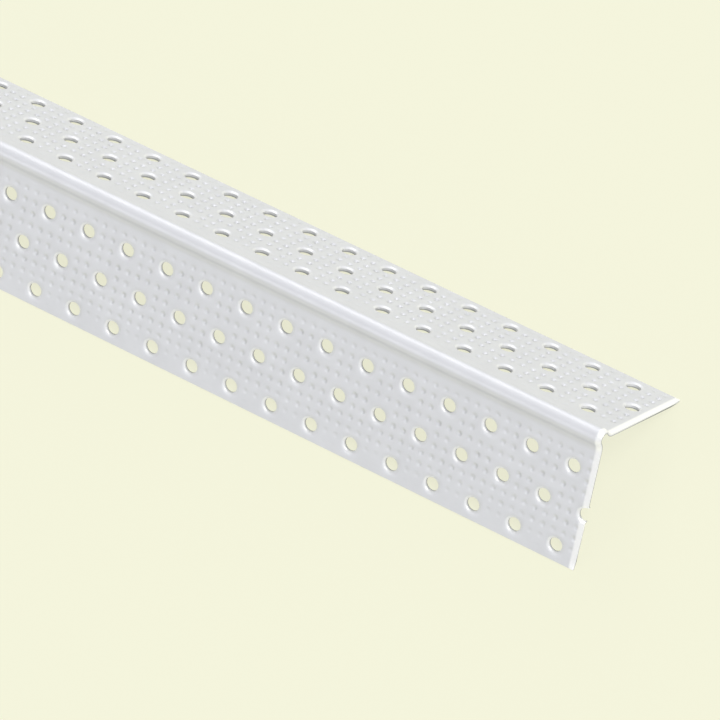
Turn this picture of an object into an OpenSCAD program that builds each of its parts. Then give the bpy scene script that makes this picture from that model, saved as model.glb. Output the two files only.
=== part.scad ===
// Outside corner bead for drywall: one strip of zinc-coated sheet,
// rolled to a hollow nose between two punched flanges.
// It stands nose up on its two free edges. Sizes are in millimetres.

/* [Stock] */
// Length of the strip as it is sold
length = 1219.2; // [150:0.1:1524]
// Thickness of the sheet
sheet = 0.5; // [0.4:0.05:0.8]

/* [Flanges] */
// Width of a flange, from the corner of the outer faces to the free edge
flange_width = 31.75; // [31:0.25:45]
// Angle between the flanges, a little under square so that they spring against the wall
flange_angle = 85; // [80:1:95]

/* [Nose] */
// Outside radius of the rolled nose
nose_radius = 2.0; // [1.8:0.1:2.6]
// Height of the nose above the outer face of each flange
nose_rise = 1.3; // [1:0.1:1.4]
// Radius of the hollow curve in which the nose runs out into a flange
nose_blend = 2.8; // [0.8:0.1:3.2]

/* [Nail holes] */
// Diameter of a nail hole
hole_diameter = 3.2; // [2.4:0.1:4]
// Distance from hole to hole along a row
hole_pitch = 10.2; // [8:0.1:14]
// Rows of holes in each flange
hole_rows = 3; // [1:1:3]
// Distance from the corner of the outer faces to the first row
first_row = 9.4; // [8:0.1:10]
// Distance from row to row
row_gap = 9.4; // [6:0.1:9.4]
// Distance from the near end to the first hole of the front flange's middle row
front_setback = 0.2; // [0:0.1:5]
// Distance from the near end to the first hole of the back flange's middle row
back_setback = 4.1; // [0:0.1:5]

/* [Hidden] */
$fn = 64;
zinc = [0.84, 0.85, 0.86];
half_angle = flange_angle / 2;
hole_radius = hole_diameter / 2;
// direction down the +Y flange and the outward normal of its outer face, as [y, z]
down = [sin(half_angle), -cos(half_angle)];
outward = [cos(half_angle), sin(half_angle)];
// height of the corner of the outer faces, so that the free edges just meet the floor
corner_height = flange_width * cos(half_angle) + sheet * sin(half_angle);
// nose centre, below the corner on the line that halves the angle
nose_depth = nose_radius - nose_rise;
nose_centre = [0, -nose_depth / sin(half_angle)];
// centre of the hollow curve beside the nose, outside the +Y flange
blend_run = sqrt(pow(nose_radius + nose_blend, 2) - pow(nose_depth + nose_blend, 2));
blend_foot = down * (nose_depth / tan(half_angle) + blend_run);
blend_centre = blend_foot + outward * nose_blend;
// past the sheet on either side, so that a cut goes right through
clear = 1;
// turn of each punch about its own axis, which keeps the seams of the hole walls off the centre line of their row
seam_turn = 20;
// hair by which a hollow curve crosses the nose and the flange, where it would otherwise only touch them
blend_lap = 0.002;

// The same point on the flange of either side: +1 is the back flange, -1 the front flange
function on_side(point, side) = [side * point[0], point[1]];

// Outline of the space under the outer faces, nose and hollow curves included
module outer_space() {
    edge = down * flange_width;
    foot = edge - outward * sheet;
    polygon([[0, 0], on_side(edge, -1), on_side(foot, -1), foot, edge]);
    translate(nose_centre)
        circle(r = nose_radius);
    difference() {
        polygon([
            nose_centre,
            on_side(blend_centre, -1),
            on_side(blend_foot, -1),
            blend_foot,
            blend_centre
        ]);
        for (side = [-1, 1])
            translate(on_side(blend_centre, side))
                circle(r = nose_blend + blend_lap);
    }
}

// Outline of the space under the inner faces, with the hollow of the nose
module inner_space() {
    top = [0, -sheet / sin(half_angle)];
    far = top + down * (flange_width + 4 * clear);
    inner_foot = blend_foot - outward * sheet;
    polygon([top, on_side(far, -1), far]);
    translate(nose_centre)
        circle(r = nose_radius - sheet);
    difference() {
        polygon([
            nose_centre,
            on_side(blend_centre, -1),
            on_side(inner_foot, -1),
            inner_foot,
            blend_centre
        ]);
        for (side = [-1, 1])
            translate(on_side(blend_centre, side))
                circle(r = nose_blend + sheet + blend_lap);
    }
}

// The folded strip before it is punched
module folded_strip() {
    translate([-length / 2, 0, corner_height])
        rotate([90, 0, 90])
            linear_extrude(height = length)
                difference() {
                    outer_space();
                    inner_space();
                }
}

// Punches for one flange: side is +1 for the back flange and -1 for the front flange
module punches(side, setback) {
    for (row = [0 : hole_rows - 1]) {
        reach = first_row + row * row_gap;
        start = setback + (row == 1 ? 0 : hole_pitch / 2);
        last = floor((length - start + hole_radius) / hole_pitch);
        for (column = [0 : last])
            translate([
                length / 2 - start - column * hole_pitch,
                side * reach * down[0],
                corner_height + reach * down[1]
            ])
                rotate([side * (half_angle - 90), 0, 0])
                    rotate([0, 0, seam_turn])
                        cylinder(h = 2 * (sheet + clear), r = hole_radius, center = true);
    }
}

module corner_bead() {
    color(zinc)
        difference() {
            folded_strip();
            punches(-1, front_setback);
            punches(1, back_setback);
        }
}

corner_bead();
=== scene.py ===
"""Looks of an outside corner bead for drywall: dimpled, punched flanges and a rolled nose."""

import logging
import math
from collections.abc import Iterable, Mapping
from dataclasses import dataclass
from enum import Enum
from typing import Any

import bmesh
import bpy
from mathutils import Matrix, Vector


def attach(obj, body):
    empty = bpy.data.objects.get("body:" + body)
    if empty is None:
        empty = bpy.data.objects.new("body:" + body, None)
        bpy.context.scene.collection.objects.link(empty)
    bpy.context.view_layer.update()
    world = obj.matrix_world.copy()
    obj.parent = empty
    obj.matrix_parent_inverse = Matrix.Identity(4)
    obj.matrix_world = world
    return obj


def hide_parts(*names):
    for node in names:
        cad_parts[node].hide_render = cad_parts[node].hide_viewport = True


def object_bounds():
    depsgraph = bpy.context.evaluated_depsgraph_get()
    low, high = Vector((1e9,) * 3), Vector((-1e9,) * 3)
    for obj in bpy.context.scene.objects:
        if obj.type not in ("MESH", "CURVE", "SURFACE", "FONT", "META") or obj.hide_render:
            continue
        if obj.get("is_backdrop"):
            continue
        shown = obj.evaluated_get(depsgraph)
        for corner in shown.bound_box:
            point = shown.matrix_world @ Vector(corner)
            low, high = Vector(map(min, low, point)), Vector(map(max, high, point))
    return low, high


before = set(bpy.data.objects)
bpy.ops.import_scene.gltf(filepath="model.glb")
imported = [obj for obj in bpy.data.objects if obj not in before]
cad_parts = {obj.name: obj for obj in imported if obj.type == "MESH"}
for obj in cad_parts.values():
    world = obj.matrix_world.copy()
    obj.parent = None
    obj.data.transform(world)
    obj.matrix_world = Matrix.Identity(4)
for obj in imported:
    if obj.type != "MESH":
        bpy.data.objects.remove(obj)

LOG = logging.getLogger("corner_bead")
MM = 0.001
NODE = "corner_bead"
BODY = "root"
# Mesh attribute: 1 where a painted highlight stands for metal that a tool has burnished and the shine that
# lamps give it, -1 where painted shade darkens the fractured part of a cut, 0 on the rolled face
WEAR_AND_PAINTED_LIGHT = "wear_and_painted_light"
# Mesh attribute: place on the press roll, counted in dimples along and across the strip,
# and the share of its print
PRESSED = "pressed"
# Value of the first attribute on the fractured part of a cut, painted dark: duller metal and painted shade
TEAR_AND_SHADE = -1.0
# Range in which nearly all values of a noise pattern lie
NOISE_LOW = 0.3
NOISE_HIGH = 0.7
# Two vertices closer than this, in millimetres, are one
WELD = 0.001
# Faces that meet at more than this angle keep a sharp edge
SHARP_ANGLE = math.radians(38)


class Side(Enum):
    """Flange of the bead, by the side of the nose that it lies on."""

    FRONT = -1
    BACK = 1


def linear(hex_code: str) -> tuple[float, float, float, float]:
    """Turn an sRGB colour into the linear one that shaders take.

    Args:
        hex_code: Colour as six hex digits.

    Returns:
        Linear red, green, blue and an alpha of 1.
    """
    channels = [int(hex_code[i:i + 2], 16) / 255 for i in (0, 2, 4)]
    red, green, blue = [c / 12.92 if c <= 0.04045 else ((c + 0.055) / 1.055) ** 2.4 for c in channels]
    return red, green, blue, 1.0


def per_metre(size_mm: float) -> float:
    """Scale of a noise pattern whose features are about size_mm across, on coordinates in metres."""
    return 1 / (size_mm * MM)


def ease(distance: float, reach: float) -> float:
    """Smooth step from 0 at no distance to 1 at reach and beyond."""
    share = min(max(distance / reach, 0.0), 1.0)
    return share * share * (3 - 2 * share)


def add_node(
    tree: bpy.types.NodeTree,
    kind: str,
    inputs: Mapping[str | int, Any] | None = None,
    **settings: Any,
) -> bpy.types.Node:
    """Add a node to a tree, with its settings, values and links.

    Args:
        tree: Node tree that gets the node.
        kind: Blender's name of the node type.
        inputs: Value, or output socket to link, for each input named by name or number.
        settings: Properties of the node.

    Returns:
        The new node.
    """
    node = tree.nodes.new(kind)
    for name, value in settings.items():
        setattr(node, name, value)
    for key, value in (inputs or {}).items():
        if isinstance(value, bpy.types.NodeSocket):
            tree.links.new(value, node.inputs[key])
        else:
            node.inputs[key].default_value = value
    return node


@dataclass(frozen=True)
class Section:
    """Rolled section of the strip, in millimetres and degrees, with the length taken from the frame."""

    length: float
    sheet: float = 0.5
    flange_width: float = 31.75
    flange_angle: float = 85.0
    nose_radius: float = 2.0
    nose_rise: float = 1.3
    nose_blend: float = 2.8
    # Flat stretch beside the hollow curve that still belongs to the nose piece
    nose_margin: float = 0.35
    # How far, and over what length, a shear draws the sheet in at a cut end
    shear_draw: float = 0.35
    shear_reach: float = 1.3
    # Share of that length that takes the full painted highlight for the shear's burnish, and the shares at
    # which the mesh has a row
    full_highlight_share: float = 0.65
    row_shares: tuple[float, ...] = (0.3, 0.65, 1.0)

    @property
    def half_angle(self) -> float:
        """Half of the angle between the flanges, in radians."""
        return math.radians(self.flange_angle / 2)

    @property
    def corner_height(self) -> float:
        """Height at which the two outer faces would meet."""
        return self.flange_width * math.cos(self.half_angle) + self.sheet * math.sin(self.half_angle)

    @property
    def nose_depth(self) -> float:
        """Distance of the nose's centre below each outer face."""
        return self.nose_radius - self.nose_rise

    @property
    def nose_centre(self) -> Vector:
        """Centre of the nose, on the plane between the flanges."""
        return Vector((0, 0, self.corner_height - self.nose_depth / math.sin(self.half_angle)))

    @property
    def blend_turn(self) -> float:
        """Angle of the hollow curve from flange to nose."""
        return math.acos((self.nose_depth + self.nose_blend) / (self.nose_radius + self.nose_blend))

    @property
    def nose_turn(self) -> float:
        """Angle of the nose from one hollow curve to the other."""
        return math.pi - 2 * self.half_angle + 2 * self.blend_turn

    @property
    def blend_foot(self) -> float:
        """Reach down a flange at which the hollow curve starts."""
        run = (self.nose_radius + self.nose_blend) * math.sin(self.blend_turn)
        return self.nose_depth / math.tan(self.half_angle) + run

    @property
    def seam(self) -> float:
        """Reach down a flange at which the nose piece meets the flange piece."""
        return self.blend_foot + self.nose_margin

    def down(self, side: Side) -> Vector:
        """Direction down a flange, from the nose to its free edge."""
        return Vector((0, side.value * math.sin(self.half_angle), -math.cos(self.half_angle)))

    def outward(self, side: Side) -> Vector:
        """Direction out of a flange's outer face."""
        return Vector((0, side.value * math.cos(self.half_angle), math.sin(self.half_angle)))

    def point(self, side: Side, reach: float, rise: float = 0.0) -> Vector:
        """Find a point of a flange.

        Args:
            side: Flange that holds the point.
            reach: Distance down the flange from the corner of the outer faces.
            rise: Distance out of the outer face.

        Returns:
            The point at the middle of the length, in millimetres.
        """
        corner = Vector((0, 0, self.corner_height))
        return corner + self.down(side) * reach + self.outward(side) * rise

    def shear_sink(self, distance: float) -> float:
        """Depth to which a shear has drawn the sheet at this distance from the cut end."""
        return self.shear_draw * (1 - min(distance / self.shear_reach, 1.0)) ** 2

    def shear_burnish_highlight(self, distance: float) -> float:
        """Share of painted highlight, for the shine of a shear's burnish, at this distance from the cut end,
        from 0 to 1.
        """
        full_highlight_reach = self.shear_reach * self.full_highlight_share
        return 1 - ease(distance - full_highlight_reach, self.shear_reach - full_highlight_reach)

    def shear_rows(self) -> list[float]:
        """Distances from a cut end at which the drawn-in edge needs a row of vertices."""
        return [self.shear_reach * share for share in self.row_shares]


@dataclass(frozen=True)
class NailHoles:
    """Staggered rows of punched holes in one flange, in millimetres."""

    setback: float
    diameter: float = 3.2
    pitch: float = 10.2
    first_row: float = 9.4
    row_gap: float = 9.4
    rows: int = 3
    sides: int = 16
    # Lip that the punch draws in: its outer edge, its shoulder and its depth at the hole
    lip_diameter: float = 4.4
    shoulder_diameter: float = 3.75
    shoulder_depth: float = 0.1
    lip_depth: float = 0.36
    # Painted highlight on the shoulder and the edge of the lip, for the punch's burnish and the shine that
    # lamps give it
    shoulder_burnish_highlight: float = 0.4
    lip_burnish_highlight: float = 0.5
    # Collar that the punch leaves under the inner face
    collar_diameter: float = 4.2
    collar_depth: float = 0.55

    def reach(self, row: int) -> float:
        """Distance of a row down the flange."""
        return self.first_row + row * self.row_gap

    def shift(self, row: int) -> float:
        """Place of a row's hole in a cell one pitch long, half a pitch on for the middle row."""
        return self.pitch / 4 * (-1 if row == 1 else 1)


@dataclass(frozen=True)
class Dimples:
    """Square grid of shallow dimples pressed into a flange, in millimetres."""

    # Dimples in one pitch of the holes, and from one row of holes to the next
    per_pitch: int = 4
    per_row_gap: float = 3.5
    depth: float = 0.3
    # Share of the full print with which the press roll has bitten into this flange
    bite: float = 1.0
    # How sharply a dimple stands out from the flat sheet round it
    tightness: int = 2
    # Place of a cell's middle between two columns of dimples, and of the first row of holes between two rows
    column_shift: float = 0.5
    row_shift: float = 0.25
    # Steps of the mesh from dimple to dimple
    steps: int = 4
    # Steps of the mesh above the first and below the last row of holes
    steps_above: int = 6
    steps_below: int = 5
    # Bands beside the nose and the free edge in which the pressing runs out
    fade_at_nose: float = 2.4
    fade_at_edge: float = 4.0


@dataclass(frozen=True)
class ZincCoat:
    """Finish of hot-dip galvanised sheet, skin-passed: pale and soft, with a painted highlight where a tool
    burnished it and painted shade where a cut fractured.
    """

    dull: str = "D4D5D9"
    pale: str = "DEDFE3"
    # Near-white paint: painted highlight for burnished metal, as a lamp would make it shine
    burnish_highlight: str = "FAFAFA"
    # Dark grey paint: the duller fractured part of a cut, darkened with painted shade
    tear_and_shade: str = "5E605E"
    # Value of the first attribute at which the fractured part of a cut starts to take its painted shade
    tear_shade_from: float = -0.4
    # A zinc coat that has been passivated scatters much of its light
    metallic: float = 0.35
    roughness: float = 0.46
    roughness_spread: float = 0.08
    bright_roughness: float = 0.34
    spangle_mm: float = 6.0
    spangle_detail: float = 3.0
    grain_mm: float = 0.8
    grain_detail: float = 2.0
    grain_height_mm: float = 0.01
    # Radius of a dimple over the distance from dimple to dimple, and the depth of its rim's crisp part
    pit_radius: float = 0.31
    pit_depth_mm: float = 0.46
    # Share of the print that the press roll leaves where it bites least, and the size of such places
    weakest_print: float = 0.4
    print_patch_mm: float = 2.5

    def material(self) -> bpy.types.Material:
        """Make the material.

        Returns:
            A pale metal, softly clouded, with a fine skin-pass grain, a painted highlight on lips and cut
            ends and painted shade on their fractured edges.
        """
        material = bpy.data.materials.new("hot_dip_galvanised_sheet")
        material.use_nodes = True
        tree = material.node_tree
        tree.nodes.clear()
        place = add_node(tree, "ShaderNodeTexCoord").outputs["Object"]
        wear_and_painted_light = add_node(tree, "ShaderNodeAttribute", attribute_name=WEAR_AND_PAINTED_LIGHT).outputs["Fac"]
        burnish_highlight = add_node(tree, "ShaderNodeMapRange", {"Value": wear_and_painted_light, "From Max": 1.0}).outputs["Result"]
        tear_and_shade = add_node(
            tree, "ShaderNodeMapRange", {"Value": wear_and_painted_light, "From Min": self.tear_shade_from, "From Max": TEAR_AND_SHADE}
        ).outputs["Result"]
        # Zinc crystals flattened by the skin pass show only as faint clouds of tone and lustre
        spangle = add_node(
            tree,
            "ShaderNodeTexNoise",
            {"Vector": place, "Scale": per_metre(self.spangle_mm), "Detail": self.spangle_detail},
        ).outputs["Fac"]
        colour = self.blend(tree, spangle, linear(self.dull), linear(self.pale))
        # A punch or shear burnishes the first part of its cut and fractures the rest: the burnish gets a
        # painted highlight, the fractured part a dull colour darkened with painted shade
        colour = self.blend(tree, burnish_highlight, colour, linear(self.burnish_highlight))
        colour = self.blend(tree, tear_and_shade, colour, linear(self.tear_and_shade))
        lustre = add_node(
            tree,
            "ShaderNodeMapRange",
            {
                "Value": spangle,
                "To Min": self.roughness + self.roughness_spread / 2,
                "To Max": self.roughness - self.roughness_spread / 2,
            },
        ).outputs["Result"]
        roughness = add_node(
            tree, "ShaderNodeMix", {0: burnish_highlight, 2: lustre, 3: self.bright_roughness}
        ).outputs[0]
        # The skin pass prints the grit of its rolls on the coat, drawn coarse enough to show
        grain = add_node(
            tree,
            "ShaderNodeTexNoise",
            {"Vector": place, "Scale": per_metre(self.grain_mm), "Detail": self.grain_detail},
        ).outputs["Fac"]
        relief = add_node(
            tree,
            "ShaderNodeBump",
            {"Height": grain, "Distance": self.grain_height_mm * MM},
        ).outputs["Normal"]
        shader = add_node(
            tree,
            "ShaderNodeBsdfPrincipled",
            {
                "Base Color": colour,
                "Metallic": self.metallic,
                "Roughness": roughness,
                "Normal": self.pits(tree, relief),
            },
        ).outputs["BSDF"]
        add_node(tree, "ShaderNodeOutputMaterial", {"Surface": shader})
        return material

    def pits(self, tree: bpy.types.NodeTree, normal: bpy.types.NodeSocket) -> bpy.types.NodeSocket:
        """Sharpen the dimples, which the mesh draws softly, to the round pits that a press roll prints.

        Args:
            tree: Node tree of the material.
            normal: Normal of the sheet with its grain.

        Returns:
            The normal with the pits.
        """
        roll = add_node(tree, "ShaderNodeAttribute", attribute_name=PRESSED).outputs["Vector"]
        share = add_node(tree, "ShaderNodeSeparateXYZ", {"Vector": roll}).outputs["Z"]
        off_centre = add_node(
            tree,
            "ShaderNodeTexVoronoi",
            {"Vector": roll, "Scale": 1.0, "Randomness": 0.0},
            voronoi_dimensions="2D",
        ).outputs["Distance"]
        height = add_node(
            tree,
            "ShaderNodeMapRange",
            {"Value": off_centre, "From Max": self.pit_radius},
            interpolation_type="SMOOTHSTEP",
        ).outputs["Result"]
        place = add_node(tree, "ShaderNodeTexCoord").outputs["Object"]
        patch = add_node(
            tree, "ShaderNodeTexNoise", {"Vector": place, "Scale": per_metre(self.print_patch_mm)}
        ).outputs["Fac"]
        bite = add_node(
            tree,
            "ShaderNodeMapRange",
            {"Value": patch, "From Min": NOISE_LOW, "From Max": NOISE_HIGH, "To Min": self.weakest_print},
        ).outputs["Result"]
        share = add_node(tree, "ShaderNodeMath", {0: share, 1: bite}, operation="MULTIPLY").outputs["Value"]
        return add_node(
            tree,
            "ShaderNodeBump",
            {"Strength": share, "Distance": self.pit_depth_mm * MM, "Height": height, "Normal": normal},
        ).outputs["Normal"]

    def blend(
        self,
        tree: bpy.types.NodeTree,
        share: bpy.types.NodeSocket,
        start: bpy.types.NodeSocket | tuple[float, float, float, float],
        end: bpy.types.NodeSocket | tuple[float, float, float, float],
    ) -> bpy.types.NodeSocket:
        """Blend two colours.

        Args:
            tree: Node tree of the material.
            share: Share of the second colour.
            start: First colour.
            end: Second colour.

        Returns:
            The blended colour.
        """
        return add_node(tree, "ShaderNodeMix", {0: share, 6: start, 7: end}, data_type="RGBA").outputs[2]


def finished_piece(bm: bmesh.types.BMesh, name: str, coat: bpy.types.Material) -> bpy.types.Object:
    """Turn a modelled piece in millimetres into an object that rides on the frame.

    Args:
        bm: Closed mesh in its place; it is used up.
        name: Name of the piece.
        coat: Material of the piece.

    Returns:
        The object, at the origin, in place of the solid of the frame.
    """
    bmesh.ops.recalc_face_normals(bm, faces=bm.faces)
    bmesh.ops.scale(bm, vec=(MM, MM, MM), verts=bm.verts)
    for face in bm.faces:
        face.smooth = True
    mesh = bpy.data.meshes.new(name)
    bm.to_mesh(mesh)
    bm.free()
    mesh.set_sharp_from_angle(angle=SHARP_ANGLE)
    mesh.materials.append(coat)
    piece = bpy.data.objects.new(name, mesh)
    bpy.context.scene.collection.objects.link(piece)
    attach(piece, BODY)
    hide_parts(NODE)
    return piece


@dataclass
class Flange:
    """One flange, modelled flat: x along the strip, y its reach from the nose, z out of its outer face."""

    section: Section
    side: Side
    holes: NailHoles
    dimples: Dimples
    # Width of the small bevel that slitting leaves on the free edge, and the share of painted highlight that
    # its burnish gets
    edge_bevel: float = 0.1
    edge_burnish_highlight: float = 0.8

    @property
    def columns(self) -> int:
        """Steps of the mesh in one pitch of the holes."""
        return self.dimples.per_pitch * self.dimples.steps

    @property
    def column_step(self) -> float:
        """Size of a step along the strip."""
        return self.holes.pitch / self.columns

    @property
    def row_step(self) -> float:
        """Size of a step down the flange."""
        return self.holes.row_gap / (self.dimples.per_row_gap * self.dimples.steps)

    @property
    def block(self) -> Vector:
        """Half sizes of the block of the mesh that a punched hole takes up."""
        half = self.dimples.steps
        return Vector((half * self.column_step, half * self.row_step, 0))

    def build(self, coat: bpy.types.Material) -> bpy.types.Object:
        """Model the flange.

        Args:
            coat: Material of the strip.

        Returns:
            The finished piece.
        """
        bm = self.punched_cell(range(self.holes.rows))
        self.repeat(bm)
        self.start_rows(bm)
        self.mark_print(bm)
        self.cut_ends(bm)
        self.place(bm)
        return finished_piece(bm, f"{self.side.name.lower()}_flange", coat)

    def punched_cell(self, rows: Iterable[int]) -> bmesh.types.BMesh:
        """Model one pitch of the flange.

        Args:
            rows: Rows that have a hole in it.

        Returns:
            A mesh that is open only at both ends of the pitch.
        """
        bm = self.pressed_cell()
        hole_edges = []
        for row in rows:
            hole_edges += self.punch(bm, Vector((self.holes.shift(row), self.holes.reach(row), 0)))
        self.close_cell(bm, hole_edges)
        return bm

    def pressed_cell(self) -> bmesh.types.BMesh:
        """Model the outer face of one pitch of the flange, with its dimples.

        Returns:
            An open grid, with the bands beside the nose and the free edge still missing.
        """
        holes = self.holes
        top = holes.first_row - self.dimples.steps_above * self.row_step
        bottom = holes.reach(holes.rows - 1) + self.dimples.steps_below * self.row_step
        bm = bmesh.new()
        bm.verts.layers.float.new(WEAR_AND_PAINTED_LIGHT)
        bm.verts.layers.float_vector.new(PRESSED)
        bmesh.ops.create_grid(
            bm,
            x_segments=self.columns,
            y_segments=round((bottom - top) / self.row_step),
            size=0.5,
        )
        bmesh.ops.scale(bm, vec=(holes.pitch, bottom - top, 1), verts=bm.verts)
        bmesh.ops.translate(bm, vec=(0, (top + bottom) / 2, 0), verts=bm.verts)
        for vert in bm.verts:
            vert.co.z = -self.dimple_depth(vert.co)
        return bm

    def roll_place(self, place: Vector) -> tuple[float, float]:
        """Place on the press roll, counted in dimples along and across: one lies at each whole count."""
        along = self.dimples.per_pitch * place.x / self.holes.pitch
        across = self.dimples.per_row_gap * (place.y - self.holes.first_row) / self.holes.row_gap
        return along + self.dimples.column_shift, across + self.dimples.row_shift

    def print_share(self, place: Vector) -> float:
        """Share of the press roll's print: its bite on open sheet, 0 at the nose, free edge and holes."""
        share = self.dimples.bite * ease(place.y - self.section.seam, self.dimples.fade_at_nose)
        share *= ease(self.section.flange_width - place.y, self.dimples.fade_at_edge)
        for row in range(self.holes.rows):
            offset = (place.x - self.holes.shift(row)) / self.holes.pitch
            along = abs(offset - round(offset)) * self.holes.pitch / self.block.x
            across = abs(place.y - self.holes.reach(row)) / self.block.y
            share *= ease(max(along, across) - 1, 1 / self.dimples.steps)
        return share

    def dimple_depth(self, place: Vector) -> float:
        """Depth of the pressing at a place on the flat flange."""
        cup = 1.0
        for count in self.roll_place(place):
            cup *= (1 + math.cos(2 * math.pi * count)) / 2
        return self.dimples.depth * cup ** self.dimples.tightness * self.print_share(place)

    def punch(self, bm: bmesh.types.BMesh, centre: Vector) -> list[bmesh.types.BMEdge]:
        """Punch a hole through the outer face and draw its lip and wall down to the inner face.

        Args:
            bm: Cell that is punched.
            centre: Middle of the hole.

        Returns:
            The edges of the collar's foot, which lie in the inner face.
        """
        def share(vert: bmesh.types.BMVert) -> float:
            """Place of a vertex in the hole's block: under 1 inside it, 1 on its border."""
            offset = vert.co - centre
            return max(abs(offset.x) / self.block.x, abs(offset.y) / self.block.y)

        tiny = WELD / self.holes.pitch
        inner = [vert for vert in bm.verts if share(vert) < 1 - tiny]
        bmesh.ops.delete(bm, geom=inner, context="VERTS")
        border = [edge for edge in bm.edges if all(abs(share(vert) - 1) < tiny for vert in edge.verts)]
        ring = bmesh.ops.create_circle(
            bm,
            cap_ends=False,
            radius=self.holes.lip_diameter / 2,
            segments=self.holes.sides,
            matrix=Matrix.Translation(centre),
        )["verts"]
        edges = list({edge for vert in ring for edge in vert.link_edges})
        bmesh.ops.triangle_fill(bm, edges=border + edges, use_beauty=True)
        holes = self.holes
        sheet = self.section.sheet
        # The lip's rings get painted highlight for the punch's burnish; the fractured foot of the wall gets
        # painted shade
        rings = (
            (holes.shoulder_diameter, holes.shoulder_depth, holes.shoulder_burnish_highlight),
            (holes.diameter, holes.lip_depth, holes.lip_burnish_highlight),
            (holes.diameter, sheet + holes.collar_depth, TEAR_AND_SHADE),
            (holes.collar_diameter, sheet, 0.0),
        )
        width = holes.lip_diameter
        for diameter, depth, wear_and_painted_light in rings:
            edges = self.draw_ring(bm, edges, centre, diameter / width, depth, wear_and_painted_light)
            width = diameter
        return edges

    def draw_ring(
        self,
        bm: bmesh.types.BMesh,
        edges: list[bmesh.types.BMEdge],
        centre: Vector,
        growth: float,
        depth: float,
        wear_and_painted_light: float,
    ) -> list[bmesh.types.BMEdge]:
        """Draw the open edge of a hole on to its next ring.

        Args:
            bm: Cell that holds the hole.
            edges: Open edge of the hole.
            centre: Middle of the hole.
            growth: New diameter over the old one.
            depth: Depth of the new ring under the outer face.
            wear_and_painted_light: Painted light on the new ring, from painted shade on fractured metal at
                -1 to a painted highlight on burnished metal at 1.

        Returns:
            The new open edge.
        """
        layer = bm.verts.layers.float[WEAR_AND_PAINTED_LIGHT]
        made = bmesh.ops.extrude_edge_only(bm, edges=edges)["geom"]
        ring = [item for item in made if isinstance(item, bmesh.types.BMVert)]
        bmesh.ops.scale(
            bm, vec=(growth, growth, 1), space=Matrix.Translation(-centre), verts=ring
        )
        for vert in ring:
            vert.co.z = -depth
            vert[layer] = wear_and_painted_light
        return [item for item in made if isinstance(item, bmesh.types.BMEdge)]

    def close_cell(self, bm: bmesh.types.BMesh, hole_edges: list[bmesh.types.BMEdge]) -> None:
        """Add the bands beside the nose and the free edge, their walls and the inner face.

        Args:
            bm: Punched cell.
            hole_edges: Edges of all collars in the inner face.
        """
        section = self.section
        reaches = [vert.co.y for vert in bm.verts]
        width = section.flange_width
        bevel = self.edge_bevel
        at_nose = ((section.seam, 0.0, 0.0), (section.seam, -section.sheet, 0.0))
        # The bevel on the free edge gets painted highlight for its burnish
        at_edge = (
            (width - bevel, 0.0, 0.0),
            (width, -bevel, self.edge_burnish_highlight),
            (width, -section.sheet, 0.0),
        )
        inner_edges = list(hole_edges)
        corners = []
        for start, rings in ((min(reaches), at_nose), (max(reaches), at_edge)):
            edges = [
                edge for edge in bm.edges if all(abs(vert.co.y - start) < WELD for vert in edge.verts)
            ]
            for reach, rise, wear_and_painted_light in rings:
                edges = self.draw_band(bm, edges, reach, rise, wear_and_painted_light)
            inner_edges += edges
            ends = sorted({vert for edge in edges for vert in edge.verts}, key=lambda vert: vert.co.x)
            corners.append((ends[0], ends[-1]))
        for near, far in zip(*corners):
            inner_edges.append(bm.edges.new((near, far)))
        bmesh.ops.triangle_fill(bm, edges=inner_edges, use_beauty=True)

    def draw_band(
        self,
        bm: bmesh.types.BMesh,
        edges: list[bmesh.types.BMEdge],
        reach: float,
        rise: float,
        wear_and_painted_light: float,
    ) -> list[bmesh.types.BMEdge]:
        """Draw a long edge of the cell on to its next line.

        Args:
            bm: Cell that holds the edge.
            edges: The long edge.
            reach: Place of the new line down the flange.
            rise: Height of the new line over the outer face.
            wear_and_painted_light: Painted light on the new line, from painted shade on fractured metal at
                -1 to a painted highlight on burnished metal at 1.

        Returns:
            The new long edge.
        """
        layer = bm.verts.layers.float[WEAR_AND_PAINTED_LIGHT]
        made = bmesh.ops.extrude_edge_only(bm, edges=edges)["geom"]
        for vert in (item for item in made if isinstance(item, bmesh.types.BMVert)):
            vert.co.y = reach
            vert.co.z = rise
            vert[layer] = wear_and_painted_light
        return [item for item in made if isinstance(item, bmesh.types.BMEdge)]

    @property
    def first_cell(self) -> float:
        """Middle of the cell that holds the first hole of the middle row."""
        near_end = self.side.value * self.section.length / 2
        return near_end - self.side.value * self.holes.setback - self.holes.shift(1)

    def repeat(self, bm: bmesh.types.BMesh) -> None:
        """Repeat the cell until it covers the strip and more, with the holes in their places."""
        pitch = self.holes.pitch
        cells_back = math.ceil((self.first_cell + self.section.length / 2) / pitch)
        bmesh.ops.translate(bm, vec=(self.first_cell - cells_back * pitch, 0, 0), verts=bm.verts)
        count = 1
        spare_cells = 2
        while (count - spare_cells) * pitch < self.section.length:
            geometry = bm.verts[:] + bm.edges[:] + bm.faces[:]
            copy = bmesh.ops.duplicate(bm, geom=geometry)["geom"]
            verts = [item for item in copy if isinstance(item, bmesh.types.BMVert)]
            bmesh.ops.translate(bm, vec=(count * pitch, 0, 0), verts=verts)
            count *= 2
        bmesh.ops.remove_doubles(bm, verts=bm.verts, dist=WELD)

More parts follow.
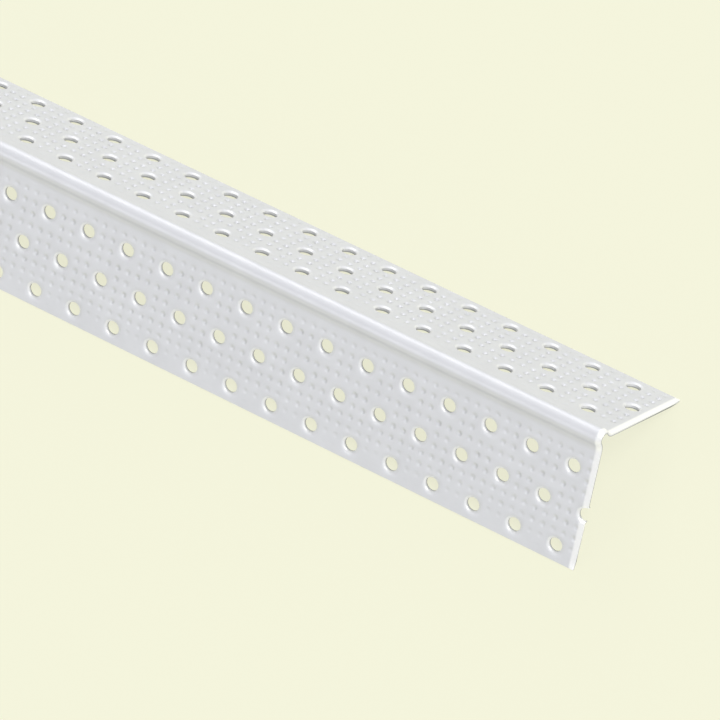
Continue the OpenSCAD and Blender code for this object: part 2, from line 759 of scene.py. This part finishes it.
    def start_rows(self, bm: bmesh.types.BMesh) -> None:
        """Start each row with the first hole whose middle lies on the strip, as the punch does."""
        way = self.side.value
        near_end = way * self.section.length / 2
        rows = [
            row for row in range(self.holes.rows)
            if way * (self.first_cell + self.holes.shift(row) - near_end) < 0
        ]
        bmesh.ops.bisect_plane(
            bm,
            geom=bm.verts[:] + bm.edges[:] + bm.faces[:],
            dist=WELD,
            plane_co=(self.first_cell - way * self.holes.pitch / 2, 0, 0),
            plane_no=(way, 0, 0),
            clear_outer=True,
        )
        cell = self.punched_cell(rows)
        bmesh.ops.translate(cell, vec=(self.first_cell, 0, 0), verts=cell.verts)
        mesh = bpy.data.meshes.new("first_cell")
        cell.to_mesh(mesh)
        cell.free()
        bm.from_mesh(mesh)
        bpy.data.meshes.remove(mesh)
        bmesh.ops.remove_doubles(bm, verts=bm.verts, dist=WELD)

    def mark_print(self, bm: bmesh.types.BMesh) -> None:
        """Mark where each vertex of the outer face lies on the press roll."""
        layer = bm.verts.layers.float_vector[PRESSED]
        for vert in bm.verts:
            place = vert.co - Vector((self.first_cell, 0, 0))
            outer = vert.co.z > WELD - self.section.sheet
            vert[layer] = (*self.roll_place(place), self.print_share(place) if outer else 0.0)

    def cut_ends(self, bm: bmesh.types.BMesh) -> None:
        """Shear both ends to length, cap them, press out their dimples and draw their edges in."""
        section = self.section
        layer = bm.verts.layers.float[WEAR_AND_PAINTED_LIGHT]
        pressed = bm.verts.layers.float_vector[PRESSED]
        for end in (-1, 1):
            for distance in (*section.shear_rows(), 0.0):
                bmesh.ops.bisect_plane(
                    bm,
                    geom=bm.verts[:] + bm.edges[:] + bm.faces[:],
                    dist=WELD,
                    plane_co=(end * (section.length / 2 - distance), 0, 0),
                    plane_no=(end, 0, 0),
                    clear_outer=distance == 0.0,
                )
            bmesh.ops.holes_fill(bm, edges=[edge for edge in bm.edges if edge.is_boundary], sides=0)
        for vert in bm.verts:
            distance = section.length / 2 - abs(vert.co.x)
            if distance < section.shear_reach:
                # The edge that stands on the floor keeps its height
                free = ease(section.flange_width - vert.co.y, 2 * section.shear_reach)
                # Painted highlight for the shear's burnish near the end; painted shade on the fractured
                # inner edge of the cut
                tear_and_shade = vert.co.z < WELD - section.sheet and distance < WELD
                vert[layer] = TEAR_AND_SHADE if tear_and_shade else max(vert[layer], section.shear_burnish_highlight(distance))
                if vert[pressed].z > 0:
                    vert.co.z = 0.0
                    vert[pressed].z = 0.0
                vert.co.z -= section.shear_sink(distance) * free

    def place(self, bm: bmesh.types.BMesh) -> None:
        """Move the flat flange to its side of the nose, right way out."""
        along = Vector((self.side.value, 0, 0))
        down = self.section.down(self.side)
        outward = self.section.outward(self.side)
        turn = Matrix((along, down, outward)).transposed().to_4x4()
        corner = Matrix.Translation(self.section.point(self.side, 0))
        bmesh.ops.transform(bm, matrix=corner @ turn, verts=bm.verts)


@dataclass
class Nose:
    """Hollow round nose between the flanges, with the hollow curves in which it runs out."""

    section: Section
    nose_steps: int = 30
    blend_steps: int = 9
    # Working attribute: 1 on the vertices of the inner skin
    inner_skin: str = "inner_skin"

    def build(self, coat: bpy.types.Material) -> bpy.types.Object:
        """Model the nose.

        Args:
            coat: Material of the strip.

        Returns:
            The finished piece.
        """
        bm = bmesh.new()
        bm.verts.layers.float.new(WEAR_AND_PAINTED_LIGHT)
        inner_skin = bm.verts.layers.int.new(self.inner_skin)
        self.roll_band(bm)
        self.run_along(bm)
        bm.verts.layers.int.remove(inner_skin)
        return finished_piece(bm, "nose", coat)

    def roll_band(self, bm: bmesh.types.BMesh) -> None:
        """Roll the sheet's thickness round the section, from the back flange to the front flange."""
        section = self.section
        outer = bm.verts.new(section.point(Side.BACK, section.seam))
        inner = bm.verts.new(section.point(Side.BACK, section.seam, -section.sheet))
        inner[bm.verts.layers.int[self.inner_skin]] = 1
        edge = bm.edges.new((outer, inner))
        edge = self.run_flat(bm, edge, -section.down(Side.BACK))
        edge = self.roll(bm, edge, self.blend_centre(Side.BACK), -section.blend_turn, self.blend_steps)
        edge = self.roll(bm, edge, section.nose_centre, section.nose_turn, self.nose_steps)
        edge = self.roll(bm, edge, self.blend_centre(Side.FRONT), -section.blend_turn, self.blend_steps)
        self.run_flat(bm, edge, section.down(Side.FRONT))

    def blend_centre(self, side: Side) -> Vector:
        """Centre of the hollow curve on one side."""
        return self.section.point(side, self.section.blend_foot, self.section.nose_blend)

    def run_flat(self, bm: bmesh.types.BMesh, edge: bmesh.types.BMEdge, way: Vector) -> bmesh.types.BMEdge:
        """Run the sheet on over the flat margin beside a hollow curve.

        Args:
            bm: Mesh of the band.
            edge: Edge through the sheet at which the band ends.
            way: Direction in which it runs on.

        Returns:
            The edge at which the band now ends.
        """
        made = bmesh.ops.extrude_edge_only(bm, edges=[edge])["geom"]
        verts = [item for item in made if isinstance(item, bmesh.types.BMVert)]
        bmesh.ops.translate(bm, vec=way * self.section.nose_margin, verts=verts)
        return next(item for item in made if isinstance(item, bmesh.types.BMEdge))

    def roll(
        self, bm: bmesh.types.BMesh, edge: bmesh.types.BMEdge, centre: Vector, turn: float, steps: int
    ) -> bmesh.types.BMEdge:
        """Roll the sheet on round a centre.

        Args:
            bm: Mesh of the band.
            edge: Edge through the sheet at which the band ends.
            centre: Centre of the curve.
            turn: Angle of the curve about the strip's axis.
            steps: Steps of the mesh in the curve.

        Returns:
            The edge at which the band now ends.
        """
        made = bmesh.ops.spin(
            bm,
            geom=[*edge.verts, edge],
            cent=centre,
            axis=(1, 0, 0),
            angle=turn,
            steps=steps,
            use_duplicate=False,
        )["geom_last"]
        return next(item for item in made if isinstance(item, bmesh.types.BMEdge))

    def run_along(self, bm: bmesh.types.BMesh) -> None:
        """Extrude the band along the strip, drawn in at both cut ends."""
        section = self.section
        half = section.length / 2
        rows = [0.0, *section.shear_rows()]
        stations = [row - half for row in rows] + [half - row for row in reversed(rows)]
        cap = bm.faces[:]
        place = 0.0
        sunk = 0.0
        for station in stations:
            if station != stations[0]:
                edges = {edge for face in cap for edge in face.edges}
                made = bmesh.ops.extrude_face_region(bm, geom=[*cap, *edges])["geom"]
                cap = [item for item in made if isinstance(item, bmesh.types.BMFace)]
            sink = section.shear_sink(half - abs(station))
            self.move_cap(bm, cap, station - place, sink - sunk)
            self.finish_cap(bm, cap, half - abs(station))
            place = station
            sunk = sink

    def move_cap(
        self, bm: bmesh.types.BMesh, cap: list[bmesh.types.BMFace], along: float, inward: float
    ) -> None:
        """Move the band at the open end of the nose.

        Args:
            bm: Mesh of the nose.
            cap: Faces of the band.
            along: Distance to move along the strip.
            inward: Distance to move through the sheet, from the outer to the inner skin.
        """
        layer = bm.verts.layers.int[self.inner_skin]
        edges = {edge for face in cap for edge in face.edges}
        rungs = [edge for edge in edges if edge.verts[0][layer] != edge.verts[1][layer]]
        for rung in rungs:
            outer, inner = sorted(rung.verts, key=lambda vert: vert[layer])
            step = (inner.co - outer.co).normalized() * inward
            for vert in rung.verts:
                vert.co += step + Vector((along, 0, 0))

    def finish_cap(self, bm: bmesh.types.BMesh, cap: list[bmesh.types.BMFace], distance: float) -> None:
        """Mark a band of the nose with the shear's burnish as a painted highlight and its fractured inner
        edge with painted shade.

        Args:
            bm: Mesh of the nose.
            cap: Faces of the band.
            distance: Distance of the band from the cut end.
        """
        layer = bm.verts.layers.float[WEAR_AND_PAINTED_LIGHT]
        inner_skin = bm.verts.layers.int[self.inner_skin]
        for vert in {vert for face in cap for vert in face.verts}:
            tear_and_shade = vert[inner_skin] and distance < WELD
            vert[layer] = TEAR_AND_SHADE if tear_and_shade else self.section.shear_burnish_highlight(distance)


@dataclass(frozen=True)
class Lamp:
    """Soft sun: the direction from the object to it, its strength and the angle that it fills."""

    name: str
    place: tuple[float, float, float]
    strength: float
    angle: float


@dataclass(frozen=True)
class Studio:
    """Pale floor, soft light and the camera, in metres and degrees."""

    section: Section
    floor_colour: str = "F5F5DD"
    floor_tone: str = "E6E6E0"
    floor_size: float = 12.0
    # Strength of the floor's own glow, and the share of its look that takes the light and so the shadow
    floor_glow: float = 0.96
    shadow_share: float = 0.12
    sky_colour: str = "FAFBFD"
    sky_strength: float = 0.44
    lamp_colour: str = "FFFFFF"
    # One lamp overhead, one low at each side, whose shine runs along the nose, and one beyond the near end
    lamps: tuple[Lamp, ...] = (
        Lamp("overhead_softbox", (0.45, 0.08, 0.89), 2.2, 32.0),
        Lamp("back_softbox", (-0.38, 0.74, 0.55), 0.76, 40.0),
        Lamp("front_softbox", (-0.38, -0.77, 0.51), 0.36, 28.0),
        Lamp("end_softbox", (0.88, -0.42, 0.2), 0.36, 30.0),
    )
    # Camera, from the middle of the near end's foot
    camera_offset: tuple[float, float, float] = (0.519669, -0.370575, 1.245017)
    camera_turn: tuple[float, float, float] = (26.0899, 13.3622, 32.4676)
    lens_mm: float = 341.004
    sensor_mm: float = 36.0

    def build(self) -> None:
        """Set up the floor, the light and the camera."""
        self.build_floor()
        self.build_sky()
        for lamp in self.lamps:
            self.build_lamp(lamp)
        self.build_camera()
        bpy.context.scene.view_settings.view_transform = "Standard"

    def build_floor(self) -> None:
        """Lay a floor that shows its own colour to the eye and to metal, and keeps a soft shadow."""
        bm = bmesh.new()
        bmesh.ops.create_grid(bm, x_segments=1, y_segments=1, size=self.floor_size / 2)
        mesh = bpy.data.meshes.new("floor")
        bm.to_mesh(mesh)
        bm.free()
        mesh.materials.append(self.floor_material())
        floor = bpy.data.objects.new("floor", mesh)
        bpy.context.scene.collection.objects.link(floor)
        floor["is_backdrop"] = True

    def floor_material(self) -> bpy.types.Material:
        """Make the floor's material.

        Returns:
            Matt paper that glows in its own colour for the camera, glossy rays and transmitted rays.
        """
        material = bpy.data.materials.new("matt_backdrop_paper")
        material.use_nodes = True
        tree = material.node_tree
        tree.nodes.clear()
        path = add_node(tree, "ShaderNodeLightPath").outputs
        seen = path["Is Camera Ray"]
        for ray in ("Is Glossy Ray", "Is Transmission Ray"):
            seen = add_node(
                tree, "ShaderNodeMath", {0: seen, 1: path[ray]}, operation="MAXIMUM"
            ).outputs["Value"]
        tint = linear(self.floor_colour)
        plain = add_node(tree, "ShaderNodeBsdfDiffuse", {"Color": linear(self.floor_tone)}).outputs["BSDF"]
        tinted = add_node(tree, "ShaderNodeBsdfDiffuse", {"Color": tint}).outputs["BSDF"]
        glow = add_node(
            tree,
            "ShaderNodeEmission",
            {"Color": tint, "Strength": self.floor_glow},
        ).outputs["Emission"]
        look = add_node(
            tree, "ShaderNodeMixShader", {0: self.shadow_share, 1: glow, 2: tinted}
        ).outputs["Shader"]
        surface = add_node(tree, "ShaderNodeMixShader", {0: seen, 1: plain, 2: look}).outputs["Shader"]
        add_node(tree, "ShaderNodeOutputMaterial", {"Surface": surface})
        return material

    def build_sky(self) -> None:
        """Light the object from all round with an even, nearly white sky."""
        world = bpy.data.worlds.new("soft_studio")
        world.use_nodes = True
        tree = world.node_tree
        tree.nodes.clear()
        sky = add_node(
            tree,
            "ShaderNodeBackground",
            {"Color": linear(self.sky_colour), "Strength": self.sky_strength},
        ).outputs["Background"]
        add_node(tree, "ShaderNodeOutputWorld", {"Surface": sky})
        bpy.context.scene.world = world

    def build_lamp(self, lamp: Lamp) -> None:
        """Hang a soft sun."""
        data = bpy.data.lights.new(lamp.name, "SUN")
        data.color = linear(self.lamp_colour)[:3]
        data.energy = lamp.strength
        data.angle = math.radians(lamp.angle)
        sun = bpy.data.objects.new(lamp.name, data)
        sun.rotation_euler = Vector(lamp.place).to_track_quat("Z", "Y").to_euler()
        bpy.context.scene.collection.objects.link(sun)

    def build_camera(self) -> None:
        """Stand the camera over the near end, at the photograph's angle."""
        data = bpy.data.cameras.new("camera")
        data.lens = self.lens_mm
        data.sensor_width = self.sensor_mm
        camera = bpy.data.objects.new("camera", data)
        near_end = Vector((self.section.length / 2 * MM, 0, 0))
        camera.location = near_end + Vector(self.camera_offset)
        camera.rotation_euler = [math.radians(angle) for angle in self.camera_turn]
        bpy.context.scene.collection.objects.link(camera)
        bpy.context.scene.camera = camera


def main() -> None:
    """Build the strip and the studio."""
    logging.basicConfig(level=logging.INFO, format="%(name)s: %(message)s")
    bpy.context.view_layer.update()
    low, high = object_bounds()
    section = Section(length=(high[0] - low[0]) / MM)
    coat = ZincCoat().material()
    makers = (
        Flange(section, Side.FRONT, NailHoles(setback=0.2), Dimples(bite=0.6, fade_at_edge=11.0)),
        Flange(section, Side.BACK, NailHoles(setback=4.1), Dimples(fade_at_nose=6.0)),
        Nose(section),
    )
    for maker in makers:
        piece = maker.build(coat)
        LOG.info("%s: %d faces", piece.name, len(piece.data.polygons))
    Studio(section).build()


if __name__ == "__main__":
    main()
